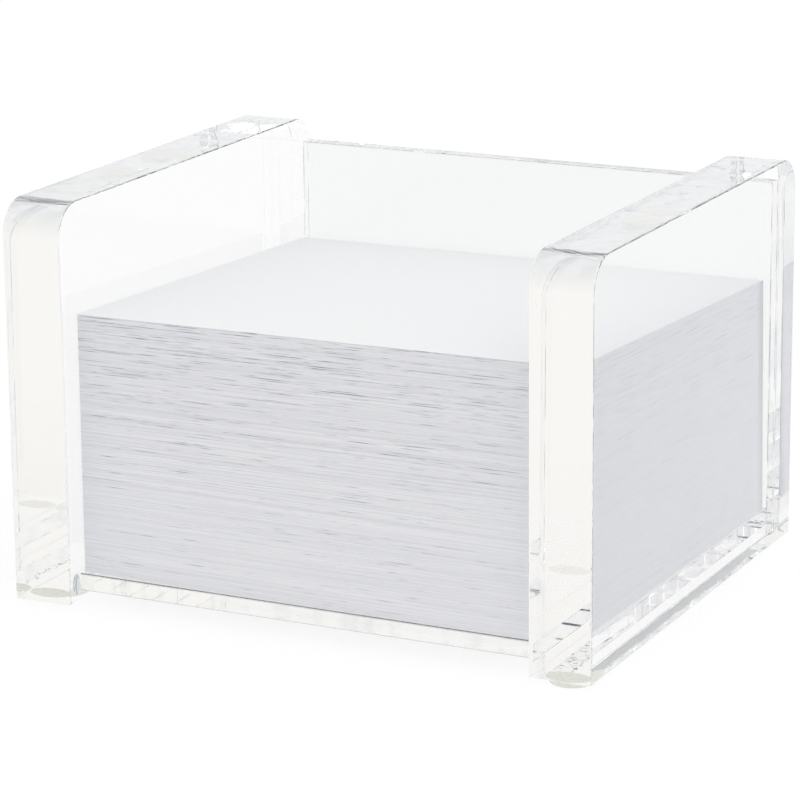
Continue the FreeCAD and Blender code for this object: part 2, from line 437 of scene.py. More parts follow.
def cured_adhesive(name, low, high, run_axis, rim, strength, sound):
    """Cured clear acrylic cement: optically one with the sheet, but for a faint milky veil with
    pinhole voids where it didn't flow, and a broken dark line along each rim, where the joint's
    edges turn light away; strength is how dark that line gets, and sound is the middle and the
    half length along X of the stretch that shows no line."""
    veil_size, break_size = 5 * MM, 6 * MM
    pinhole_spacing, pinhole_radius, pinhole_whiteness = 2.6 * MM, 0.07, 0.3
    material, tree = new_material("cured clear acrylic cement " + name)
    place = add_node(tree, "ShaderNodeTexCoord").outputs["Object"]
    veil = add_node(tree, "ShaderNodeTexNoise",
                    {"Scale": 1 / veil_size, "Detail": 3.0, "Vector": place})
    amount = add_node(tree, "ShaderNodeMapRange",
                      {"From Min": 0.5, "From Max": 0.8, "To Min": 0.0, "To Max": 0.1,
                       "Value": veil})
    pinholes = add_node(tree, "ShaderNodeTexVoronoi",
                        {"Scale": 1 / pinhole_spacing, "Vector": place})
    hole = add_node(tree, "ShaderNodeMath",
                    {"operation": "LESS_THAN", 0: pinholes, 1: pinhole_radius})
    share = add_node(tree, "ShaderNodeMath",
                     {"operation": "MULTIPLY_ADD", 0: hole, 1: pinhole_whiteness, 2: amount})
    milky = add_node(tree, "ShaderNodeBsdfPrincipled",
                     {"Base Color": opaque(linear("#E9ECEE")), "Roughness": 0.4})
    clear = add_node(tree, "ShaderNodeBsdfTransparent")
    veiled = add_node(tree, "ShaderNodeMixShader", {0: share, 1: clear, 2: milky})
    apart = add_node(tree, "ShaderNodeSeparateXYZ", {0: place})
    middle = (getattr(low, run_axis) + getattr(high, run_axis)) / 2
    half = (getattr(high, run_axis) - getattr(low, run_axis)) / 2
    across = add_node(tree, "ShaderNodeMath",
                      {"operation": "SUBTRACT", 0: apart.outputs[run_axis.upper()], 1: middle})
    off = add_node(tree, "ShaderNodeMath", {"operation": "ABSOLUTE", 0: across})
    at_rim = add_node(tree, "ShaderNodeMapRange",
                      {"From Min": half - rim * 2, "From Max": half - rim, "To Min": 0.0,
                       "To Max": strength, "Value": off})
    breaks = add_node(tree, "ShaderNodeTexNoise",
                      {"Scale": 1 / break_size, "Detail": 4.0, "Vector": place})
    kept = add_node(tree, "ShaderNodeMapRange",
                    {"From Min": 0.42, "From Max": 0.58, "Value": breaks})
    at_rim = add_node(tree, "ShaderNodeMath", {"operation": "MULTIPLY", 0: at_rim, 1: kept})
    from_sound = add_node(tree, "ShaderNodeMath",
                          {"operation": "SUBTRACT", 0: apart.outputs["X"], 1: sound[0]})
    from_sound = add_node(tree, "ShaderNodeMath", {"operation": "ABSOLUTE", 0: from_sound})
    unsound = add_node(tree, "ShaderNodeMath",
                       {"operation": "GREATER_THAN", 0: from_sound, 1: sound[1]})
    at_rim = add_node(tree, "ShaderNodeMath", {"operation": "MULTIPLY", 0: at_rim, 1: unsound})
    line = add_node(tree, "ShaderNodeBsdfTransparent", {"Color": opaque(linear("#7C8592"))})
    finish_material(tree, add_node(tree, "ShaderNodeMixShader", {0: at_rim, 1: veiled, 2: line}))
    return material


def film_mesh(name, low, high, thin_axis, shrink):
    """A thin film between two bonded faces, a hair clear of both."""
    low, high = low.copy(), high.copy()
    setattr(low, thin_axis, getattr(low, thin_axis) + shrink)
    setattr(high, thin_axis, getattr(high, thin_axis) - shrink)
    bm = bmesh.new()
    bmesh.ops.create_cube(bm, size=1.0)
    for vert in bm.verts:
        vert.co = Vector([low[i] if vert.co[i] < 0 else high[i] for i in range(3)])
    thickest_film = 1 * MM
    long_edges = [edge for edge in bm.edges if edge.calc_length() > thickest_film]
    bmesh.ops.subdivide_edges(bm, edges=long_edges, cuts=3, use_grid_fill=True)
    return finished_mesh(bm, name)


def soft_bumper(settings, end, haze, clear_tint):
    """Clear moulded polyurethane, dulled in use: a slightly milky grey disc with fine ripples;
    haze is the largest share of the light that it turns, and clear_tint what it lets through."""
    ripple_length, ripple_height = 1.1 * MM, 0.02 * MM
    least_haze = haze / 3
    material, tree = new_material("moulded clear polyurethane " + end)
    place = add_node(tree, "ShaderNodeTexCoord").outputs["Object"]
    ripples = add_node(tree, "ShaderNodeTexNoise",
                       {"Scale": 1 / ripple_length, "Detail": 2.0, "Vector": place})
    bump = add_node(tree, "ShaderNodeBump",
                    {"Strength": 1.0, "Distance": ripple_height, "Height": ripples})
    cloud = add_node(tree, "ShaderNodeMapRange",
                     {"From Min": 0.3, "From Max": 0.7, "To Min": least_haze, "To Max": haze,
                      "Value": ripples})
    milky = add_node(tree, "ShaderNodeBsdfPrincipled",
                     {"Base Color": opaque(settings.foot_tint), "Roughness": 0.25, "Normal": bump})
    clear = add_node(tree, "ShaderNodeBsdfTransparent", {"Color": opaque(linear(clear_tint))})
    finish_material(tree, add_node(tree, "ShaderNodeMixShader", {0: cloud, 1: clear, 2: milky}))
    return material


def panel_outline(low, high, radius, inset, steps):
    """The side panel's outline as Y and Z, counter-clockwise seen from +X and moved in by inset."""
    # A point just off each end of an arc keeps the arc's shading out of the flat faces
    clear = 0.2 * MM
    reach = radius - inset
    points = [(high.y - inset, low.z + inset), (high.y - inset, high.z - radius - clear)]
    for centre_y, start in ((high.y - radius, 0.0), (low.y + radius, math.pi / 2)):
        for step in range(steps + 1):
            turn = start + math.pi / 2 * step / steps
            points.append((centre_y + reach * math.cos(turn),
                           high.z - radius + reach * math.sin(turn)))
        if start == 0.0:
            points.append((centre_y - clear, high.z - inset))
            points.append((low.y + radius + clear, high.z - inset))
    points.append((low.y + inset, high.z - radius - clear))
    points.append((low.y + inset, low.z + inset))
    return points


def side_panel_mesh(name, low, high, radius, ease):
    """A thick panel with round upper corners and edges eased to a small radius."""
    steps, ease_steps = 24, 4
    rings = []
    for step in range(ease_steps + 1):
        turn = math.pi / 2 * step / ease_steps
        rings.append((low.x + ease * (1 - math.sin(turn)), ease * (1 - math.cos(turn))))
    rings = rings[::-1]
    rings = rings + [(low.x + high.x - x, inset) for x, inset in rings[::-1]]
    bm = bmesh.new()
    loops = []
    for x, inset in rings:
        outline = panel_outline(low, high, radius, inset, steps)
        loops.append([bm.verts.new((x, y, z)) for y, z in outline])
    bm.faces.new(loops[0][::-1])
    bm.faces.new(loops[-1])
    for near, far in zip(loops, loops[1:]):
        for i in range(len(near)):
            j = (i + 1) % len(near)
            bm.faces.new((near[i], near[j], far[j], far[i]))
    bmesh.ops.recalc_face_normals(bm, faces=bm.faces[:])
    shade_by_angle(bm, CREASE)
    return finished_mesh(bm, name)


class MEMO_OT_side_panels(bpy.types.Operator):
    """Make the two thick side panels"""

    bl_idname = "memo.side_panels"
    bl_label = "Side panels"

    def execute(self, context):
        settings = context.scene.memo_acrylic
        material = cast_acrylic("flame-polished thick cast acrylic", settings, "X",
                                settings.sheet_tint, settings.painted_round_shade, 0.0)
        for side in SIDES:
            node = side + "_side_panel"
            low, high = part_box(node)
            mesh = side_panel_mesh("polished_" + node, low, high, settings.corner_radius,
                                   settings.edge_round)
            mesh_piece("polished_" + node, mesh, material, HOLDER, "thick_acrylic", node)
        return {"FINISHED"}


def thin_plate_mesh(name, low, high, eased, radius):
    """A plate whose long edges are eased at the corners of its profile named in eased."""
    steps = 3
    bm = bmesh.new()
    profile = []
    for corner, y, z, start in (("front low", low.y, low.z, 180), ("rear low", high.y, low.z, 270),
                                ("rear high", high.y, high.z, 0), ("front high", low.y, high.z, 90)):
        if corner not in eased:
            profile.append((y, z))
            continue
        centre_y = y + (radius if "front" in corner else -radius)
        centre_z = z + (radius if "low" in corner else -radius)
        for step in range(steps + 1):
            turn = math.radians(start + 90 * step / steps)
            profile.append((centre_y + radius * math.cos(turn), centre_z + radius * math.sin(turn)))
    ends = [[bm.verts.new((x, y, z)) for y, z in profile] for x in (low.x, high.x)]
    bm.faces.new(ends[0][::-1])
    bm.faces.new(ends[1])
    for i in range(len(profile)):
        j = (i + 1) % len(profile)
        bm.faces.new((ends[0][i], ends[0][j], ends[1][j], ends[1][i]))
    bmesh.ops.recalc_face_normals(bm, faces=bm.faces[:])
    shade_by_angle(bm, CREASE)
    return finished_mesh(bm, name)


class MEMO_OT_thin_panels(bpy.types.Operator):
    """Make the base plate and the back panel"""

    bl_idname = "memo.thin_panels"
    bl_label = "Base plate and back panel"

    def execute(self, context):
        settings = context.scene.memo_acrylic
        # Painted shade: the base plate's eased front edges take the arris shade, the back panel's
        # eased top edges the round shade
        for node, axis, tint, wave, eased in (
                ("base_plate", "Z", settings.painted_arris_shade, settings.plate_wave,
                 ("front low", "front high")),
                ("back_panel", "Y", settings.painted_round_shade, 0.0, ("front high", "rear high"))):
            material = cast_acrylic("polished thin cast acrylic of the " + node.replace("_", " "),
                                    settings, axis, settings.thin_tint, tint, wave)
            low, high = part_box(node)
            mesh = thin_plate_mesh("polished_" + node, low, high, eased, settings.plate_ease)
            mesh_piece("polished_" + node, mesh, material, HOLDER, "thin_acrylic", node)
        return {"FINISHED"}


class MEMO_OT_bonds(bpy.types.Operator):
    """Dress the adhesive between the panels"""

    bl_idname = "memo.bonds"
    bl_label = "Adhesive"

    def execute(self, context):
        rim, clearance = 0.12 * MM, 0.02 * MM
        # Stretches without a line: none of the joint, or all of it but its right end
        all_over, right_end = (0.0, 0.0), (-13.5 * MM, 33.5 * MM)
        for node, thin, run, strength, sound in (("base_left_bond", "x", "z", 0.12, all_over),
                                                 ("base_right_bond", "x", "z", 0.2, all_over),
                                                 ("base_back_bond", "y", "z", 0.9, right_end),
                                                 ("back_left_bond", "x", "y", 0.4, all_over),
                                                 ("back_right_bond", "x", "y", 0.6, all_over)):
            low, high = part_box(node)
            name = node.replace("bond", "cement_film")
            material = cured_adhesive(name.replace("_", " "), low, high, run, rim, strength,
                                      sound)
            mesh = film_mesh(name, low, high, thin, clearance)
            mesh_piece(name, mesh, material, HOLDER, "adhesive", node)
        return {"FINISHED"}


def bead_mesh(name, centre, reach):
    """A small flattened drop with an uneven outline."""
    around, along, unevenness = 14, 9, 0.12
    bm = bmesh.new()
    rings = []
    for j in range(1, along):
        tilt = math.pi * j / along
        ring = []
        for i in range(around):
            turn = 2 * math.pi * i / around
            swell = 1 + unevenness * math.sin(2 * turn + 3 * tilt)
            ring.append(bm.verts.new((centre.x + reach.x * swell * math.sin(tilt) * math.cos(turn),
                                      centre.y + reach.y * swell * math.sin(tilt) * math.sin(turn),
                                      centre.z + reach.z * math.cos(tilt))))
        rings.append(ring)
    top = bm.verts.new((centre.x, centre.y, centre.z + reach.z))
    bottom = bm.verts.new((centre.x, centre.y, centre.z - reach.z))
    for i in range(around):
        j = (i + 1) % around
        bm.faces.new((top, rings[0][i], rings[0][j]))
        bm.faces.new((bottom, rings[-1][j], rings[-1][i]))
        for near, far in zip(rings, rings[1:]):
            bm.faces.new((near[i], far[i], far[j], near[j]))
    bmesh.ops.recalc_face_normals(bm, faces=bm.faces[:])
    for face in bm.faces:
        face.smooth = True
    return finished_mesh(bm, name)


class MEMO_OT_cement_bead(bpy.types.Operator):
    """Leave the drop of cement that was squeezed out at the base plate's front left corner"""

    bl_idname = "memo.cement_bead"
    bl_label = "Cement bead"

    def execute(self, context):
        settings = context.scene.memo_acrylic
        low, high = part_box("base_left_bond")
        centre = Vector((low.x + 0.1 * MM, low.y - 1.4 * MM, (low.z + high.z) / 2))
        reach = Vector((0.45, 1.2, 2.0)) * MM
        ripple_length, ripple_height = 0.8 * MM, 0.03 * MM
        mesh = bead_mesh("squeezed_out_cement", centre, reach)
        # Clear cement whose ripples bend the white floor into a grey drop; a grey tint in its colour
        # adds painted shade
        material, tree = new_material("cured clear acrylic cement bead")
        place = add_node(tree, "ShaderNodeTexCoord").outputs["Object"]
        ripples = add_node(tree, "ShaderNodeTexNoise",
                           {"Scale": 1 / ripple_length, "Vector": place})
        bump = add_node(tree, "ShaderNodeBump",
                        {"Strength": 1.0, "Distance": ripple_height, "Height": ripples})
        glass = add_node(tree, "ShaderNodeBsdfPrincipled",
                         {"Base Color": opaque(linear("#DDE0E4")), "Roughness": 0.05,
                          "IOR": settings.refraction, "Transmission Weight": 1.0, "Normal": bump})
        finish_material(tree, lamp_pass(tree, glass, settings.shade))
        mesh_piece("squeezed_out_cement", mesh, material, HOLDER, "adhesive")
        return {"FINISHED"}


class MEMO_OT_feet(bpy.types.Operator):
    """Dress the four bumper feet"""

    bl_idname = "memo.feet"
    bl_label = "Feet"

    def execute(self, context):
        # The front pair shows more haze than the rear pair
        for end, haze, clear_tint in zip(ENDS, (0.17, 0.06), ("#F4F5F1", "#FAFAF8")):
            material = soft_bumper(context.scene.memo_acrylic, end, haze, clear_tint)
            for side in SIDES:
                dress(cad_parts["foot_" + end + "_" + side], material)
        return {"FINISHED"}


# The note sheets

def note_paper(settings):
    """Uncoated wood-free note paper, guillotined: matt faces with a faint fibre mottle, and cut
    edges on which painted shade draws fine dark streaks for short gaps between the sheets and
    darkens the sides towards their rear ends."""
    fibre_size, fibre_relief = 0.9 * MM, 0.01 * MM
    long_gap, longer_gap, rows_apart = 15 * MM, 40 * MM, 1.7
    dim_from, dim_at, dim_most = 41.5 * MM, 45.3 * MM, 0.35
    face_from = 0.7
    material, tree = new_material("uncoated guillotined note paper")
    coordinates = add_node(tree, "ShaderNodeTexCoord")
    place = coordinates.outputs["Object"]
    fibre = add_node(tree, "ShaderNodeTexNoise",
                     {"Scale": 1 / fibre_size, "Detail": 4.0, "Roughness": 0.6, "Vector": place})
    mottle = add_node(tree, "ShaderNodeMapRange",
                      {"From Min": 0.3, "From Max": 0.7, "To Min": 0.975, "To Max": 1.0,
                       "Value": fibre})
    face = add_node(tree, "ShaderNodeVectorMath",
                    {"operation": "SCALE", "Scale": mottle, 0: settings.face_colour})
    # Each sheet's edge has its own streaks, as its level in the block picks its row of the noise
    level = add_node(tree, "ShaderNodeAttribute",
                     {"attribute_type": "GEOMETRY", "attribute_name": "level"}).outputs["Fac"]
    row = add_node(tree, "ShaderNodeMath",
                   {"operation": "MULTIPLY", 0: level, 1: settings.sheets * rows_apart})
    apart = add_node(tree, "ShaderNodeSeparateXYZ", {0: place})
    streaks = []
    for length, detail in ((long_gap, 3.0), (longer_gap, 0.0)):
        across = add_node(tree, "ShaderNodeMath",
                          {"operation": "DIVIDE", 0: apart.outputs["X"], 1: length})
        along = add_node(tree, "ShaderNodeMath",
                         {"operation": "DIVIDE", 0: apart.outputs["Y"], 1: length})
        stretched = add_node(tree, "ShaderNodeCombineXYZ", {"X": across, "Y": along, "Z": row})
        streaks.append(add_node(tree, "ShaderNodeTexNoise",
                                {"Scale": 1.0, "Detail": detail, "Roughness": 0.6,
                                 "Vector": stretched}).outputs["Fac"])
    # The fan opens towards the top of the block, and the gaps with it
    opening = add_node(tree, "ShaderNodeMapRange",
                       {"From Min": 0.45, "From Max": 0.9, "To Min": 0.61, "To Max": 0.55,
                        "Value": level})
    # Painted shade: where the streak noise passes the opening, the edge takes the dark gap shade
    beyond = add_node(tree, "ShaderNodeMath", {"operation": "SUBTRACT", 0: streaks[0], 1: opening})
    dark = add_node(tree, "ShaderNodeMapRange",
                    {"From Min": 0.0, "From Max": 0.15, "To Min": 0.0, "To Max": 0.95,
                     "Value": beyond})
    faint = add_node(tree, "ShaderNodeMapRange",
                     {"From Min": 0.35, "From Max": 0.65, "To Min": 0.0, "To Max": 0.12,
                      "Value": streaks[1]})
    dark = add_node(tree, "ShaderNodeMath", {"operation": "MAXIMUM", 0: dark, 1: faint})
    # The sheets lie closer along the sides, which were cut last
    normal = add_node(tree, "ShaderNodeSeparateXYZ", {0: coordinates.outputs["Normal"]})
    sideways = add_node(tree, "ShaderNodeMath", {"operation": "ABSOLUTE", 0: normal.outputs["X"]})
    kept = add_node(tree, "ShaderNodeMapRange", {"To Min": 1.0, "To Max": 0.45, "Value": sideways})
    dark = add_node(tree, "ShaderNodeMath", {"operation": "MULTIPLY", 0: dark, 1: kept})
    # Painted shade: the sides darken towards their rear ends, where little light reaches
    depth = add_node(tree, "ShaderNodeMapRange",
                     {"From Min": dim_from, "From Max": dim_at, "To Max": dim_most,
                      "Value": apart.outputs["Y"]})
    dark = add_node(tree, "ShaderNodeMath",
                    {"operation": "MULTIPLY_ADD", 0: depth, 1: sideways, 2: dark})
    edge = add_node(tree, "ShaderNodeMix",
                    {"data_type": "RGBA", 0: dark, 6: opaque(settings.edge_colour),
                     7: opaque(settings.painted_gap_shade)})
    upright = add_node(tree, "ShaderNodeMath", {"operation": "ABSOLUTE", 0: normal.outputs["Z"]})
    cut = add_node(tree, "ShaderNodeMath", {"operation": "LESS_THAN", 0: upright, 1: face_from})
    colour = add_node(tree, "ShaderNodeMix", {"data_type": "RGBA", 0: cut, 6: face, 7: edge})
    bump = add_node(tree, "ShaderNodeBump",
                    {"Strength": 0.4, "Distance": fibre_relief, "Height": fibre})
    paper = add_node(tree, "ShaderNodeBsdfPrincipled",
                     {"Roughness": 0.85, "IOR": 1.45, "Specular IOR Level": 0.25,
                      "Base Color": colour, "Normal": bump})
    finish_material(tree, paper)
    return material


SHEET_INPUTS = (
    ("Sheets", "NodeSocketInt"),
    ("Sheet Size", "NodeSocketVector"),
    ("Low Corner", "NodeSocketVector"),
    ("High Front", "NodeSocketFloat"),
    ("Rear Height", "NodeSocketFloat"),
    ("Front Rise", "NodeSocketFloat"),
    ("Right Rise", "NodeSocketFloat"),
    ("Low Turn", "NodeSocketFloat"),
    ("Slip", "NodeSocketFloat"),
    ("Seed", "NodeSocketInt"),
    ("Paper", "NodeSocketMaterial"),
)


def sheet_stack_tree():
    """Geometry Nodes tree that piles thin closed sheets, tight at the rear and fanned in front."""
    least_gap, sags_across, rows_apart, edge_points = 0.25, 9, 977, 19
    tree = bpy.data.node_groups.new("note sheet stack", "GeometryNodeTree")
    for name, kind in SHEET_INPUTS:
        tree.interface.new_socket(name, in_out="INPUT", socket_type=kind)
    tree.interface.new_socket("Geometry", in_out="OUTPUT", socket_type="NodeSocketGeometry")
    given = add_node(tree, "NodeGroupInput").outputs
    index = add_node(tree, "GeometryNodeInputIndex")
    last = add_node(tree, "ShaderNodeMath", {"operation": "SUBTRACT", 0: given["Sheets"], 1: 1})
    level = add_node(tree, "ShaderNodeMath", {"operation": "DIVIDE", 0: index, 1: last})
    # Gap below each sheet: none to speak of low down, and a few wide ones towards the top
    chance = add_node(tree, "FunctionNodeRandomValue",
                      {"data_type": "FLOAT", "Seed": given["Seed"]})
    second_seed = add_node(tree, "ShaderNodeMath", {"operation": "ADD", 0: given["Seed"], 1: 1})
    width = add_node(tree, "FunctionNodeRandomValue", {"data_type": "FLOAT", "Seed": second_seed})
    height_share = add_node(tree, "ShaderNodeMapRange",
                            {"From Min": 0.2, "From Max": 1.0, "To Min": 0.02, "To Max": 0.3,
                             "Value": level})
    open_here = add_node(tree, "ShaderNodeMath",
                         {"operation": "LESS_THAN", 0: chance, 1: height_share})
    squared = add_node(tree, "ShaderNodeMath", {"operation": "POWER", 0: width, 1: 2})
    wide = add_node(tree, "ShaderNodeMath", {"operation": "MULTIPLY", 0: open_here, 1: squared})
    gap = add_node(tree, "ShaderNodeMath", {"operation": "ADD", 0: wide, 1: least_gap})
    running = add_node(tree, "GeometryNodeAccumulateField", {"data_type": "FLOAT", 0: gap})
    opened = add_node(tree, "ShaderNodeMath",
                      {"operation": "DIVIDE", 0: running.outputs["Leading"],
                       1: running.outputs["Total"]})
    own_gap = add_node(tree, "ShaderNodeMath",
                       {"operation": "DIVIDE", 0: gap, 1: running.outputs["Total"]})
    third_seed = add_node(tree, "ShaderNodeMath", {"operation": "ADD", 0: given["Seed"], 1: 2})
    slip = add_node(tree, "FunctionNodeRandomValue",
                    {"data_type": "FLOAT_VECTOR", "Seed": third_seed, 0: (-1, -1, 0),
                     1: (1, 1, 0)})
    points = add_node(tree, "GeometryNodePoints", {"Count": given["Sheets"]})
    for name, kind, value in (("level", "FLOAT", level), ("opened", "FLOAT", opened),
                              ("own_gap", "FLOAT", own_gap), ("slip", "FLOAT_VECTOR", slip)):
        points = add_node(tree, "GeometryNodeStoreNamedAttribute",
                          {"data_type": kind, "domain": "POINT", "Name": name, "Geometry": points,
                           "Value": value})
    sheet = add_node(tree, "GeometryNodeMeshCube",
                     {"Size": (1, 1, 1), "Vertices X": edge_points, "Vertices Y": 2,
                      "Vertices Z": 2})
    placed = add_node(tree, "GeometryNodeInstanceOnPoints", {"Points": points, "Instance": sheet})
    real = add_node(tree, "GeometryNodeRealizeInstances", {0: placed})
    # Each corner's place in its sheet, from 0 to 1 each way, becomes its place in the stack
    named = {}
    for name, kind in (("level", "FLOAT"), ("opened", "FLOAT"), ("own_gap", "FLOAT"),
                       ("slip", "FLOAT_VECTOR")):
        named[name] = add_node(tree, "GeometryNodeInputNamedAttribute",
                               {"data_type": kind, "Name": name})
    place = add_node(tree, "GeometryNodeInputPosition")
    share = add_node(tree, "ShaderNodeVectorMath",
                     {"operation": "ADD", 0: place, 1: (0.5, 0.5, 0.5)})
    shares = add_node(tree, "ShaderNodeSeparateXYZ", {0: share}).outputs
    flat = add_node(tree, "ShaderNodeVectorMath",
                    {"operation": "MULTIPLY", 0: share, 1: given["Sheet Size"]})
    lowness = add_node(tree, "ShaderNodeMath", {"operation": "SUBTRACT", 0: 1, 1: named["level"]})
    turn = add_node(tree, "ShaderNodeMath",
                    {"operation": "MULTIPLY", 0: given["Low Turn"], 1: lowness})
    turned = add_node(tree, "ShaderNodeVectorRotate",
                      {"rotation_type": "Z_AXIS", "Vector": flat, "Angle": turn})
    slipped = add_node(tree, "ShaderNodeVectorMath",
                       {"operation": "SCALE", "Scale": given["Slip"], 0: named["slip"]})
    low = add_node(tree, "ShaderNodeSeparateXYZ", {0: given["Low Corner"]}).outputs
    front_travel = add_node(tree, "ShaderNodeMath",
                            {"operation": "SUBTRACT", 0: given["High Front"], 1: low["Y"]})
    front = add_node(tree, "ShaderNodeMath",
                     {"operation": "MULTIPLY_ADD", 0: front_travel, 1: named["level"],
                      2: low["Y"]})
    frontness = add_node(tree, "ShaderNodeMath", {"operation": "SUBTRACT", 0: 1, 1: shares["Y"]})
    rise = add_node(tree, "ShaderNodeMath",
                    {"operation": "MULTIPLY", 0: given["Front Rise"], 1: frontness})
    rise = add_node(tree, "ShaderNodeMath",
                    {"operation": "MULTIPLY_ADD", 0: given["Right Rise"], 1: shares["X"], 2: rise})
    pitch_height = add_node(tree, "ShaderNodeMath",
                            {"operation": "MULTIPLY_ADD", 0: given["Rear Height"],
                             1: named["level"], 2: low["Z"]})
    height = add_node(tree, "ShaderNodeMath",
                      {"operation": "MULTIPLY_ADD", 0: rise, 1: named["opened"], 2: pitch_height})
    # A sheet sags into the gap below it in places, so gaps come and go along its edge
    across = add_node(tree, "ShaderNodeMath",
                      {"operation": "MULTIPLY", 0: shares["X"], 1: sags_across})
    row = add_node(tree, "ShaderNodeMath",
                   {"operation": "MULTIPLY", 0: named["level"], 1: rows_apart})
    probe = add_node(tree, "ShaderNodeCombineXYZ", {"X": across, "Y": shares["Y"], "Z": row})
    wave = add_node(tree, "ShaderNodeTexNoise", {"Scale": 1.0, "Detail": 1.0, "Vector": probe})
    sag_share = add_node(tree, "ShaderNodeMapRange",
                         {"From Min": 0.35, "From Max": 0.65, "Value": wave})
    sag = add_node(tree, "ShaderNodeMath", {"operation": "MULTIPLY", 0: rise, 1: named["own_gap"]})
    sag = add_node(tree, "ShaderNodeMath", {"operation": "MULTIPLY", 0: sag, 1: sag_share})
    height = add_node(tree, "ShaderNodeMath", {"operation": "SUBTRACT", 0: height, 1: sag})
    corner = add_node(tree, "ShaderNodeCombineXYZ", {"X": low["X"], "Y": front, "Z": height})
    base = add_node(tree, "ShaderNodeVectorMath", {"operation": "ADD", 0: turned, 1: corner})
    final = add_node(tree, "ShaderNodeVectorMath", {"operation": "ADD", 0: base, 1: slipped})
    moved = add_node(tree, "GeometryNodeSetPosition", {"Geometry": real, "Position": final})
    whole = add_node(tree, "GeometryNodeRealizeInstances", {0: moved})
    dressed = add_node(tree, "GeometryNodeSetMaterial",
                       {"Geometry": whole, "Material": given["Paper"]})
    add_node(tree, "NodeGroupOutput", {0: dressed})
    return tree


def grown_mesh(name, tree, values):
    """The plain mesh that a Geometry Nodes tree grows from these input values."""
    carrier = bpy.data.objects.new(name + "_grower", bpy.data.meshes.new(name + "_grower"))
    bpy.context.scene.collection.objects.link(carrier)
    modifier = carrier.modifiers.new(name, "NODES")
    modifier.node_group = tree
    for item in tree.interface.items_tree:
        if item.item_type == "SOCKET" and item.in_out == "INPUT":
            modifier[item.identifier] = values[item.name]
    carrier.update_tag()
    graph = bpy.context.evaluated_depsgraph_get()
    graph.update()
    mesh = bpy.data.meshes.new_from_object(carrier.evaluated_get(graph), depsgraph=graph)
    carrier.modifiers.clear()
    bpy.data.objects.remove(carrier)
    mesh.name = name
    return mesh


def paper_material(settings):
    """The note paper, made once and shared by the block and the top sheet."""
    found = bpy.data.materials.get("uncoated guillotined note paper")
    return found or note_paper(settings)


class MEMO_OT_note_stack(bpy.types.Operator):
    """Pile the loose note sheets"""

    bl_idname = "memo.note_stack"
    bl_label = "Note sheets"

    def execute(self, context):
        settings = context.scene.memo_paper
        low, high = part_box("note_stack")
        top_low, top_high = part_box("top_sheet")
        air = 0.02 * MM
        rises = settings.front_rise + settings.right_rise
        values = {
            "Sheets": settings.sheets,
            "Sheet Size": (settings.width, settings.depth, settings.thickness),
            "Low Corner": (low.x, low.y + math.sin(-settings.low_turn) * settings.width,
                           low.z + air),
            "High Front": top_low.y,
            "Rear Height": high.z - low.z - rises - settings.thickness - air,
            "Front Rise": settings.front_rise,
            "Right Rise": settings.right_rise,
            "Low Turn": settings.low_turn,
            "Slip": settings.slip,
            "Seed": settings.seed,
            "Paper": paper_material(settings),
        }
        mesh = grown_mesh("note_sheets", sheet_stack_tree(), values)
        if len(mesh.polygons) < settings.sheets:
            raise RuntimeError("the note sheets didn't grow")
        mesh_piece("note_sheets", mesh, paper_material(settings), SHEET_BLOCK, "note_paper",
                   "note_stack")
        return {"FINISHED"}


class MEMO_OT_top_sheet(bpy.types.Operator):
    """Lay the top sheet on the block"""

    bl_idname = "memo.top_sheet"
    bl_label = "Top sheet"

    def execute(self, context):
        settings = context.scene.memo_paper
        low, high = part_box("top_sheet")
        steps = 18
        bm = bmesh.new()
        layers = []
        rises = settings.front_rise + settings.right_rise
        thickness = high.z - low.z - rises
        for layer in (0, 1):
            rows = []
            for j in range(steps + 1):
                row = []
                for i in range(steps + 1):
                    u, v = i / steps, j / steps
                    z = low.z + settings.front_rise * (1 - v) + settings.right_rise * u
                    row.append(bm.verts.new((low.x + (high.x - low.x) * u,
                                             low.y + (high.y - low.y) * v,
                                             z + layer * thickness)))
                rows.append(row)
            layers.append(rows)
        for layer, rows in enumerate(layers):
            for near, far in zip(rows, rows[1:]):
                for i in range(steps):
                    corners = (near[i], near[i + 1], far[i + 1], far[i])
                    bm.faces.new(corners if layer else corners[::-1])
        under, over = layers
        rims = [(under[0], over[0]), (under[-1][::-1], over[-1][::-1]),
                ([r[-1] for r in under], [r[-1] for r in over]),
                ([r[0] for r in under][::-1], [r[0] for r in over][::-1])]
        for below, above in rims:
            for i in range(steps):
                bm.faces.new((below[i], below[i + 1], above[i + 1], above[i]))
        mesh = finished_mesh(bm, "uppermost_note_sheet")
        level = mesh.attributes.new("level", "FLOAT", "POINT")
        level.data.foreach_set("value", [1.0] * len(mesh.vertices))
        mesh_piece("uppermost_note_sheet", mesh, paper_material(settings), LOOSE_TOP_SHEET,
                   "note_paper", "top_sheet")
        return {"FINISHED"}


# The studio

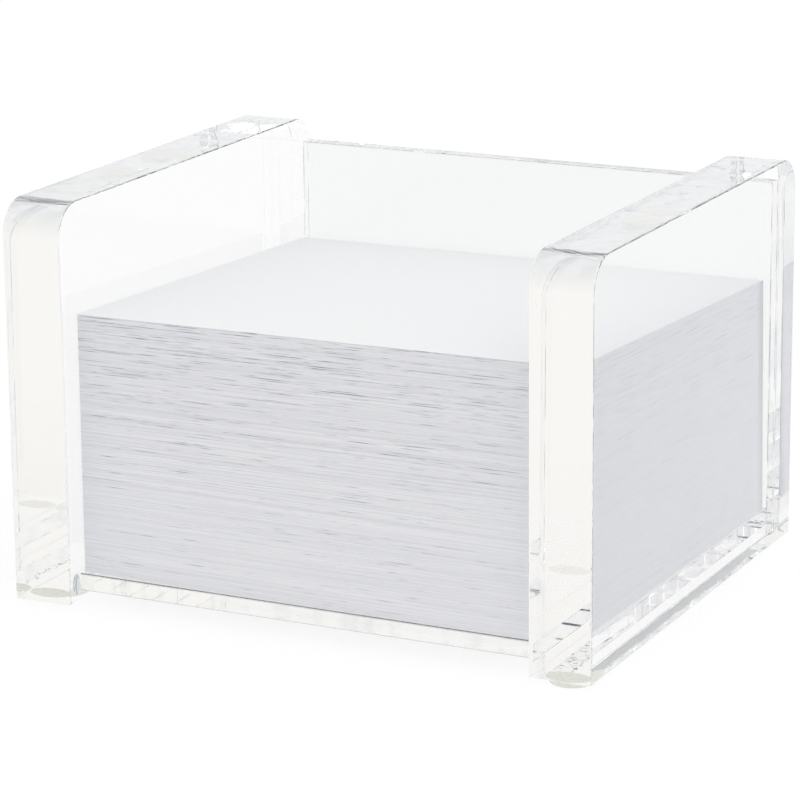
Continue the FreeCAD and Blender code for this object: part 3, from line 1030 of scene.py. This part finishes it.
def floor_material(settings):
    """Matt white sweep: white to the camera and in glass, with the object's shadow kept."""
    grain_size, off_glow_white = 25 * MM, 0.8
    material, tree = new_material("matt white painted floor")
    place = add_node(tree, "ShaderNodeTexCoord").outputs["Object"]
    grain = add_node(tree, "ShaderNodeTexNoise",
                     {"Scale": 1 / grain_size, "Detail": 2.0, "Vector": place})
    tone = add_node(tree, "ShaderNodeMapRange",
                    {"From Min": 0.3, "From Max": 0.7, "To Min": 0.995, "To Max": 1.0,
                     "Value": grain})
    path = add_node(tree, "ShaderNodeLightPath")
    seen = add_node(tree, "ShaderNodeMath",
                    {"operation": "MAXIMUM", 0: path.outputs["Is Camera Ray"],
                     1: path.outputs["Is Glossy Ray"]})
    seen = add_node(tree, "ShaderNodeMath",
                    {"operation": "MAXIMUM", 0: seen, 1: path.outputs["Is Transmission Ray"]})
    glow = add_node(tree, "ShaderNodeEmission", {"Strength": settings.floor_glow, "Color": tone})
    share = 1 - settings.floor_glow
    lit = add_node(tree, "ShaderNodeBsdfDiffuse", {"Color": (share, share, share, 1)})
    both = add_node(tree, "ShaderNodeAddShader", {0: glow, 1: lit})
    plain = add_node(tree, "ShaderNodeBsdfDiffuse",
                     {"Color": (off_glow_white, off_glow_white, off_glow_white, 1)})
    finish_material(tree, add_node(tree, "ShaderNodeMixShader", {0: seen, 1: plain, 2: both}))
    return material


def make_world(scene, settings):
    """Even light from all round; gloss and glass see a white room, a shade greyer overhead and
    off the open front."""
    world = bpy.data.worlds.new("studio")
    world.use_nodes = True
    tree = world.node_tree
    tree.nodes.clear()
    way = add_node(tree, "ShaderNodeTexCoord").outputs["Generated"]
    apart = add_node(tree, "ShaderNodeSeparateXYZ", {0: way})
    height = add_node(tree, "ShaderNodeMapRange",
                      {"From Min": 0.3, "From Max": 0.65, "Value": apart.outputs["Z"]})
    open_side = add_node(tree, "ShaderNodeMapRange",
                         {"From Min": 0.1, "From Max": -0.9, "Value": apart.outputs["Y"]})
    around = add_node(tree, "ShaderNodeMix",
                      {"data_type": "RGBA", 0: open_side, 6: opaque(settings.room_low),
                       7: opaque(settings.room_front)})
    room = add_node(tree, "ShaderNodeMix",
                    {"data_type": "RGBA", 0: height, 6: around, 7: opaque(settings.room_high)})
    path = add_node(tree, "ShaderNodeLightPath")
    glassy = add_node(tree, "ShaderNodeMath",
                      {"operation": "MAXIMUM", 0: path.outputs["Is Glossy Ray"],
                       1: path.outputs["Is Transmission Ray"]})
    level = settings.sky_light
    behind = add_node(tree, "ShaderNodeMapRange",
                      {"From Min": 0.2, "From Max": 0.8, "Value": apart.outputs["Y"]})
    sky = add_node(tree, "ShaderNodeMix",
                   {"data_type": "RGBA", 0: behind, 6: (level, level, level, 1),
                    7: opaque([level * part for part in settings.sky_behind])})
    even = add_node(tree, "ShaderNodeMix",
                    {"data_type": "RGBA", 0: path.outputs["Is Camera Ray"], 6: sky,
                     7: (1, 1, 1, 1)})
    colour = add_node(tree, "ShaderNodeMix", {"data_type": "RGBA", 0: glassy, 6: even, 7: room})
    back = add_node(tree, "ShaderNodeBackground", {"Strength": 1.0, "Color": colour})
    add_node(tree, "ShaderNodeOutputWorld", {"Surface": back})
    scene.world = world


def camera_matrix(settings):
    """The camera's place and turn in the part's frame."""
    a, e, r = settings.azimuth, settings.elevation, settings.roll
    back = Vector((math.sin(a) * math.cos(e), -math.cos(a) * math.cos(e), math.sin(e)))
    right = Vector((0, 0, 1)).cross(back).normalized()
    up = back.cross(right)
    turned_right = right * math.cos(r) + up * math.sin(r)
    turned_up = up * math.cos(r) - right * math.sin(r)
    turn = Matrix((turned_right, turned_up, back)).transposed().to_4x4()
    return Matrix.Translation(settings.camera_place) @ turn


class MEMO_OT_studio(bpy.types.Operator):
    """Set up the floor, the lamps and the camera"""

    bl_idname = "memo.studio"
    bl_label = "Studio"

    def execute(self, context):
        scene = context.scene
        settings = scene.memo_studio
        scene.view_settings.view_transform = "Standard"
        # Light crosses many polished faces and bonds before it leaves the acrylic
        bounces = 64
        scene.cycles.max_bounces = bounces
        scene.cycles.transmission_bounces = bounces
        scene.cycles.glossy_bounces = bounces
        scene.cycles.transparent_max_bounces = bounces
        scene.cycles.diffuse_bounces = 5
        make_world(scene, settings)

        half, depth = 8.0, -0.1 * MM
        bm = bmesh.new()
        corners = ((-half, -half), (half, -half), (half, half), (-half, half))
        bm.faces.new([bm.verts.new((x, y, depth)) for x, y in corners])
        floor = bpy.data.objects.new("studio_floor", finished_mesh(bm, "studio_floor"))
        scene.collection.objects.link(floor)
        dress(floor, floor_material(settings))

        lamp = bpy.data.objects.new("soft_lamp", bpy.data.lights.new("soft_lamp", "SUN"))
        lamp.data.energy = settings.lamp_light * math.pi / math.cos(settings.lamp_tilt)
        lamp.data.angle = settings.lamp_width
        lamp.rotation_euler = (settings.lamp_tilt, 0, settings.lamp_azimuth)
        scene.collection.objects.link(lamp)

        camera = bpy.data.objects.new("camera", bpy.data.cameras.new("camera"))
        camera.data.sensor_width = 36.0
        camera.data.lens = settings.lens
        camera.data.clip_start, camera.data.clip_end = 0.01, 50.0
        camera.matrix_world = camera_matrix(settings)
        scene.collection.objects.link(camera)
        scene.camera = camera
        return {"FINISHED"}


class MEMO_PT_sidebar(bpy.types.Panel):
    """Lists the settings and the steps in order"""

    bl_idname = "MEMO_PT_sidebar"
    bl_label = "Memo sheet holder"
    bl_space_type = "VIEW_3D"
    bl_region_type = "UI"
    bl_category = "Memo holder"

    def draw(self, context):
        for operator in OPERATORS:
            self.layout.operator(operator.bl_idname)
        for name, group in SETTINGS:
            box = self.layout.box()
            for key in group.__annotations__:
                box.prop(getattr(context.scene, name), key)


OPERATORS = (
    MEMO_OT_side_panels,
    MEMO_OT_thin_panels,
    MEMO_OT_bonds,
    MEMO_OT_cement_bead,
    MEMO_OT_feet,
    MEMO_OT_note_stack,
    MEMO_OT_top_sheet,
    MEMO_OT_studio,
)


def register():
    """Register the settings, the operators and the panel."""
    for name, group in SETTINGS:
        bpy.utils.register_class(group)
        setattr(bpy.types.Scene, name, bpy.props.PointerProperty(type=group))
    for cls in OPERATORS + (MEMO_PT_sidebar,):
        bpy.utils.register_class(cls)


def unregister():
    """Take everything back out again."""
    for cls in reversed(OPERATORS + (MEMO_PT_sidebar,)):
        bpy.utils.unregister_class(cls)
    for name, group in reversed(SETTINGS):
        delattr(bpy.types.Scene, name)
        bpy.utils.unregister_class(group)


def main():
    """Build every piece and the studio."""
    register()
    bpy.ops.memo.side_panels()
    bpy.ops.memo.thin_panels()
    bpy.ops.memo.bonds()
    bpy.ops.memo.cement_bead()
    bpy.ops.memo.feet()
    bpy.ops.memo.note_stack()
    bpy.ops.memo.top_sheet()
    bpy.ops.memo.studio()


if __name__ == "__main__":
    main()
